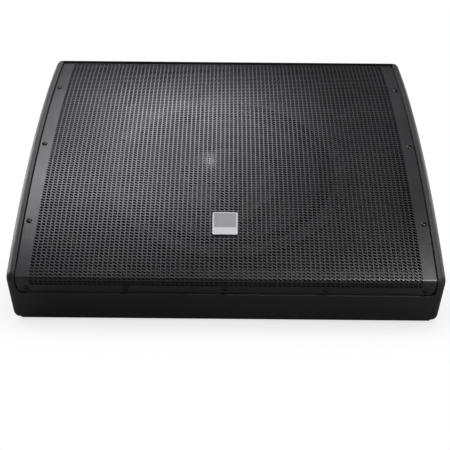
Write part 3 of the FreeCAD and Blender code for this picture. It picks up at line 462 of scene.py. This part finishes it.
def flat_sheet(first_column, last_column, total, half):
    """Part of the perforated sheet, laid flat: x across, v along from the rear edge, depth down."""
    mesh = bmesh.new()
    cache = {}

    def vert(x, v, d):
        key = (round(x, PLACE_DIGITS), round(v, PLACE_DIGITS), d)
        if key not in cache:
            cache[key] = mesh.verts.new((x, v, -SHEET * d))
        return cache[key]

    def both(points):
        mesh.faces.new([vert(x, v, 0) for x, v in points])
        mesh.faces.new([vert(x, v, 1) for x, v in reversed(points)])

    def side(p, q):
        mesh.faces.new([vert(*p, 0), vert(*q, 0), vert(*q, 1), vert(*p, 1)])

    row_pitch = (total - REAR_MARGIN - FRONT_MARGIN) / ROWS
    corners = hole_corners(row_pitch)
    left = -COLUMNS * COLUMN_PITCH / 2
    xs = [left + i * COLUMN_PITCH for i in range(first_column, last_column + 1)]
    vs = [REAR_MARGIN + j * row_pitch for j in range(ROWS + 1)]
    for j in range(ROWS):
        for x0 in xs[:-1]:
            x1 = x0 + COLUMN_PITCH
            v0 = vs[j]
            v1 = vs[j + 1]
            ring = [((x0 + x1) / 2 + dx, (v0 + v1) / 2 + dv) for dx, dv in corners]
            cell = [(x1, v0), (x1, v1), (x0, v1), (x0, v0)]
            for k in range(4):
                a = ring[2 * k]
                b = ring[2 * k + 1]
                c = ring[(2 * k + 2) % 8]
                both([cell[k], cell[(k + 1) % 4], b, a])
                both([cell[(k + 1) % 4], c, b])
                side(a, b)
                side(b, c)
    # plain strips: before the first row, after the last, and the side margin
    corner_v = total - LIP_CORNER
    tail = [vs[-1] + (corner_v - vs[-1]) * k / 2 for k in (1, 2)]
    for k in range(1, CORNER_STEPS + 1):
        tail.append(corner_v + LIP_CORNER * math.sin(math.pi / 2 * k / CORNER_STEPS))
    bands = [0.0] + vs + tail

    def edge_x(v):
        """Half the sheet's width at v, less where the lip's corner is rounded."""
        into = max(0.0, v - corner_v)
        return half - (LIP_CORNER - math.sqrt(max(0.0, LIP_CORNER ** 2 - into ** 2)))

    outer_left = first_column == 0
    outer_right = last_column == COLUMNS
    for v0, v1 in zip(bands[:-1], bands[1:]):
        if v1 <= vs[0] or v0 >= vs[-1]:
            for x0, x1 in zip(xs[:-1], xs[1:]):
                both([(x0, v0), (x1, v0), (x1, v1), (x0, v1)])
        if outer_left:
            both([(-edge_x(v0), v0), (xs[0], v0), (xs[0], v1), (-edge_x(v1), v1)])
            side((-edge_x(v1), v1), (-edge_x(v0), v0))
        if outer_right:
            both([(xs[-1], v0), (edge_x(v0), v0), (edge_x(v1), v1), (xs[-1], v1)])
            side((edge_x(v0), v0), (edge_x(v1), v1))
    for v, flip in ((0.0, False), (total, True)):
        row = ([-edge_x(v)] if outer_left else []) + xs + ([edge_x(v)] if outer_right else [])
        for x0, x1 in zip(row[:-1], row[1:]):
            side(*(((x0, v), (x1, v)) if flip else ((x1, v), (x0, v))))
    if not outer_left or not outer_right:
        x = xs[-1] if outer_left else xs[0]
        for v0, v1 in zip(bands[:-1], bands[1:]):
            side(*(((x, v0), (x, v1)) if outer_left else ((x, v1), (x, v0))))
    return mesh


def grille():
    """The perforated sheet in two halves, arched and bent to the CAD grille's section."""
    lengths, at = sheet_path()
    total = sum(lengths)
    low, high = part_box("grille")
    half = (high.x - low.x) / 2
    middle = COLUMNS // 2
    for name, first, last in (("grille_left", 0, middle), ("grille_right", middle, COLUMNS)):
        mesh = flat_sheet(first, last, total, half)
        for k in range(BEND_CUTS + 1):
            v = lengths[0] + lengths[1] * k / BEND_CUTS
            near = [f for f in mesh.faces if any(abs(p.co.y - v) < CUT_REACH for p in f.verts)]
            edges = list({e for f in near for e in f.edges})
            points = list({p for f in near for p in f.verts})
            bmesh.ops.bisect_plane(mesh, geom=near + edges + points, dist=SAME_PLACE,
                                   plane_co=(0, v, 0), plane_no=(0, 1, 0))
        bmesh.ops.recalc_face_normals(mesh, faces=mesh.faces[:])
        for p in mesh.verts:
            point, out = at(p.co.y)
            p.co = point + out * p.co.z + Vector((p.co.x, 0, 0))
        data = bpy.data.meshes.new(name)
        mesh.to_mesh(data)
        mesh.free()
        obj = shown(name, data, "grille_steel")
        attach(obj, "cabinet")
    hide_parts("grille")
    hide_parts("grille")


# ---- loudspeaker ----

# radii about the driver's axis; heights above the baffle's face
CONE_R = 0.150
CONE_NECK_Z = -0.084
CONE_EDGE_Z = -0.0090
CONE_SHEET = 0.0012
CONE_CURVE = 0.80               # below 1 the cone's side bulges forward
NECK_GAP = 0.0012
RIM_GAP = 0.0004
RIBS = 7
RIB_HEIGHT = 0.0011
RIB_ZONE = (0.25, 0.97)         # share of the way from neck to edge

LEDGE_R = 0.166
LEDGE_Z = -0.010
SURROUND_R = 0.172
SURROUND_SHEET = 0.0009
ROLL_HEIGHT = 0.0065
ROLL_FULLNESS = 0.8             # below 1 the rolls are fuller than a sine
EDGE_GAP = 0.0002

COIL_R = 0.044
SPIDER_WIDTH = 0.0396
SPIDER_Z = -0.094
SPIDER_SHEET = 0.0006
SPIDER_WAVES = 6
WAVE_HEIGHT = 0.0013
SPIDER_GAP = 0.0015

HORN_SHEET = 0.0022
HORN_BASE_Z = -0.104
HORN_RISE_Z = -0.023
HORN_THROAT_R = 0.0165
HORN_MOUTH_R = 0.0778
HORN_STRAIGHT = 0.012           # height of the tube below the flare
HORN_TUBE_R = 0.0188            # outside it
HORN_THINNED = 0.4              # share of the wall left at the lip
HORN_LAG = 0.0008               # the outside lies this much lower than the inside
LIP_WIDTH = 0.0012              # of the horn's rolled lip
LIP_HEIGHT = 0.0014


def sectors(name, profile, count, steps, slot, stands_for):
    """A ring in equal sectors, each a closed piece of the profile turned about Z.
    """
    for i in range(count):
        verts = []
        faces = []
        size = len(profile)
        for j in range(steps + 1):
            verts += ring_at(2 * math.pi * (i + j / steps) / count, profile)
        for j in range(steps):
            for k in range(size):
                m = (k + 1) % size
                faces.append((j * size + k, (j + 1) * size + k, (j + 1) * size + m, j * size + m))
        faces.append(tuple(range(size)))
        faces.append(tuple(steps * size + k for k in reversed(range(size))))
        part = piece(f"{name}_{i + 1:02d}", tilted(verts), faces, slot, body=None,
                     stands_for=[stands_for])
        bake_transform(part)


def surround():
    """Double half-roll of doped cloth, flexing between the cone and the frame."""
    inner = CONE_R + EDGE_GAP
    outer = SURROUND_R - EDGE_GAP
    steps = 28
    top = []
    under = []
    for i in range(steps + 1):
        k = i / steps
        r = inner + (LEDGE_R - inner) * k
        roll = abs(math.sin(2 * math.pi * k)) ** ROLL_FULLNESS
        z = LEDGE_Z + ROLL_HEIGHT * roll + SURROUND_SHEET
        top.append((r, z))
        under.append((r, z - SURROUND_SHEET))
    top.append((outer, LEDGE_Z + SURROUND_SHEET))
    under.append((outer, LEDGE_Z))
    sectors("surround_roll", top + under[::-1], 12, 15, "surround_cloth", "surround")


def spider():
    """Corrugated cloth ring that centres the coil."""
    inner = COIL_R + SPIDER_GAP
    steps = 72
    top = []
    under = []
    for i in range(steps + 1):
        k = i / steps
        r = inner + SPIDER_WIDTH * k
        z = SPIDER_Z + WAVE_HEIGHT * math.sin(2 * math.pi * SPIDER_WAVES * k)
        top.append((r, z + SPIDER_SHEET))
        under.append((r, z))
    sectors("spider_wave", top + under[::-1], 8, 12, "spider_cloth", "spider")


def cone():
    """Paper cone with concentric stiffening ribs."""
    neck_r = COIL_R + NECK_GAP
    edge_r = CONE_R - RIM_GAP
    rib_from, rib_to = RIB_ZONE
    steps = 90
    top = []
    under = []
    for i in range(steps + 1):
        k = i / steps
        r = neck_r + (edge_r - neck_r) * k
        z = CONE_NECK_Z + (CONE_EDGE_Z - CONE_NECK_Z) * k ** CONE_CURVE
        if rib_from < k < rib_to:
            z += RIB_HEIGHT * math.sin(2 * math.pi * RIBS * k) ** 3
        top.append((r, z + CONE_SHEET))
        under.append((r, z))
    verts, faces = lathe(top + under[::-1], 180)
    piece("cone_ribbed", tilted(verts), faces, "cone_paper", body="cone_assembly",
          stands_for=["cone"])


def horn():
    """Round waveguide with a smooth flare and a rolled lip, standing on the pole."""
    flare_z = HORN_BASE_Z + HORN_STRAIGHT
    steps = 40
    inside = [(0.0150, HORN_BASE_Z), (0.0152, HORN_BASE_Z + 0.008)]
    outside = [(HORN_TUBE_R, HORN_BASE_Z), (HORN_TUBE_R, flare_z)]
    for i in range(1, steps + 1):
        k = i / steps
        z = flare_z + (HORN_RISE_Z - flare_z) * k
        # half of the widening is even along the horn, half comes late
        r = HORN_THROAT_R + (HORN_MOUTH_R - HORN_THROAT_R) * (0.50 * k + 0.50 * k ** 3)
        wall = HORN_SHEET * (1 if k < 0.98 else HORN_THINNED)
        inside.append((r, z))
        outside.append((r + wall, z - HORN_LAG))
    lip = []
    lip_steps = 6
    for i in range(lip_steps + 1):
        turn = math.pi * i / lip_steps
        lip.append((HORN_MOUTH_R + LIP_WIDTH - LIP_WIDTH * math.cos(turn),
                    HORN_RISE_Z + LIP_HEIGHT * math.sin(turn)))
    verts, faces = lathe(outside + lip[::-1] + inside[::-1], 160)
    piece("horn_flare", tilted(verts), faces, "horn_plastic", stands_for=["horn"])


# ---- camera, light and floor ----

# the camera's fit to the photograph
CAMERA_PLACE = (-0.0010, -1.4782, 0.3646)
CAMERA_LENS = 72.0
CAMERA_SENSOR = 36.0
CAMERA_NEAR = 0.05
CAMERA_PITCH = math.radians(9.777)
CAMERA_YAW = math.radians(-0.047)
CAMERA_ROLL = math.radians(0.507)

SURROUND_LIGHT = 0.05           # of the white surround, as the object sees it
FLOOR_SIZE = 6.0                # from the middle to an edge
FLOOR_BOUNCE = 0.25             # the floor's colour, as the object sees it
FLOOR_OPEN = (1, 1, 1)          # the floor's colour in the picture
FLOOR_SHADED = (0.72, 0.72, 0.73)
SHADE_REACH = 0.22
SHADE_SAMPLES = 8

WHITE = (1, 1, 1)
COOL = (0.96, 0.95, 1.0)

# name, place, point it faces, size, watts, tint
LIGHTS = (
    ("key_far", (-0.20, 0.80, 2.1), (-0.1, 0, 0.2), (0.6, 0.6), 13, COOL),
    ("key_near", (-0.45, 0.0, 2.1), (-0.1, 0, 0.2), (0.7, 0.9), 18, COOL),
    ("side", (0.63, -0.98, 1.22), (0.28, -0.2, 0.1), (0.25, 0.25), 15, WHITE),
    ("front", (1.2, -1.9, 0.5), (0.1, -0.24, 0.05), (0.4, 0.4), 4, WHITE),
    ("rim_left", (-1.7, 0.7, 0.9), (-0.3, 0, 0.2), (0.8, 0.8), 32, WHITE),
    ("rim_right", (1.7, 0.8, 0.8), (0.3, 0, 0.2), (0.8, 0.8), 17, WHITE),
    ("back", (0, 2.4, 0.9), (0, 0.2, 0.3), (2.4, 0.5), 6, WHITE),
)


def camera():
    """The camera, at its fitted place, aimed by pitch, yaw and roll."""
    flat = math.cos(CAMERA_PITCH)
    ahead = Vector((math.sin(CAMERA_YAW) * flat, math.cos(CAMERA_YAW) * flat,
                    -math.sin(CAMERA_PITCH)))
    right = Vector((math.cos(CAMERA_YAW), -math.sin(CAMERA_YAW), 0))
    up = right.cross(ahead)
    turn = Matrix((right, up, -ahead)).transposed().to_4x4()
    roll = Matrix.Rotation(CAMERA_ROLL, 4, "Z")
    data = bpy.data.cameras.new("camera")
    data.lens = CAMERA_LENS
    data.sensor_width = CAMERA_SENSOR
    data.clip_start = CAMERA_NEAR
    cam = bpy.data.objects.new("camera", data)
    bpy.context.scene.collection.objects.link(cam)
    cam.matrix_world = Matrix.Translation(CAMERA_PLACE) @ turn @ roll
    bpy.context.scene.camera = cam


def soft_light(name, place, target, size, power, tint):
    """A rectangular light that faces a point."""
    data = bpy.data.lights.new(name, "AREA")
    data.shape = "RECTANGLE"
    data.size, data.size_y = size
    data.energy = power
    data.color = tint
    obj = bpy.data.objects.new(name, data)
    obj.location = place
    obj.rotation_euler = (Vector(target) - Vector(place)).to_track_quat("-Z", "Y").to_euler()
    bpy.context.scene.collection.objects.link(obj)


def surroundings():
    """White to the camera, nearly dark to the object, which the lights alone should model."""
    world = bpy.data.worlds.new("studio")
    world.use_nodes = True
    tree = world.node_tree
    back = tree.nodes["Background"]
    back.inputs["Color"].default_value = (*WHITE, 1)
    seen = tree.nodes.new("ShaderNodeLightPath").outputs["Is Camera Ray"]
    level = spread(tree, seen, SURROUND_LIGHT, 1.0, 0.0, 1.0)
    tree.links.new(level, back.inputs["Strength"])
    bpy.context.scene.world = world


def ground():
    """White to the camera but for a soft shade near the object, dull grey to the object."""
    mat, tree, shader, _ = nodes_of("floor_pale")
    shader.inputs["Base Color"].default_value = (FLOOR_BOUNCE, FLOOR_BOUNCE, FLOOR_BOUNCE, 1)
    shader.inputs["Roughness"].default_value = 0.9
    shader.inputs["Specular IOR Level"].default_value = 0.0
    near = tree.nodes.new("ShaderNodeAmbientOcclusion")
    near.samples = SHADE_SAMPLES
    near.inputs["Distance"].default_value = SHADE_REACH
    tone = ramp(tree, near.outputs["AO"], FLOOR_SHADED, FLOOR_OPEN, 0.0, 0.9)
    glow = tree.nodes.new("ShaderNodeEmission")
    tree.links.new(tone, glow.inputs["Color"])
    seen = tree.nodes.new("ShaderNodeLightPath").outputs["Is Camera Ray"]
    mix = tree.nodes.new("ShaderNodeMixShader")
    tree.links.new(seen, mix.inputs["Fac"])
    tree.links.new(shader.outputs["BSDF"], mix.inputs[1])
    tree.links.new(glow.outputs["Emission"], mix.inputs[2])
    tree.links.new(mix.outputs["Shader"], tree.nodes["Material Output"].inputs["Surface"])
    mesh = bpy.data.meshes.new("floor")
    corners = [(-FLOOR_SIZE, -FLOOR_SIZE, 0), (FLOOR_SIZE, -FLOOR_SIZE, 0),
               (FLOOR_SIZE, FLOOR_SIZE, 0), (-FLOOR_SIZE, FLOOR_SIZE, 0)]
    mesh.from_pydata(corners, [], [(0, 1, 2, 3)])
    mesh.materials.append(mat)
    floor = bpy.data.objects.new("floor", mesh)
    bpy.context.scene.collection.objects.link(floor)


def studio():
    """White surroundings and floor, lit softly from above, from both sides and from behind."""
    bpy.context.scene.view_settings.view_transform = "Standard"
    surroundings()
    ground()
    for light in LIGHTS:
        soft_light(*light)


dress_cad()
grille()
surround()
spider()
cone()
horn()
camera()
studio()
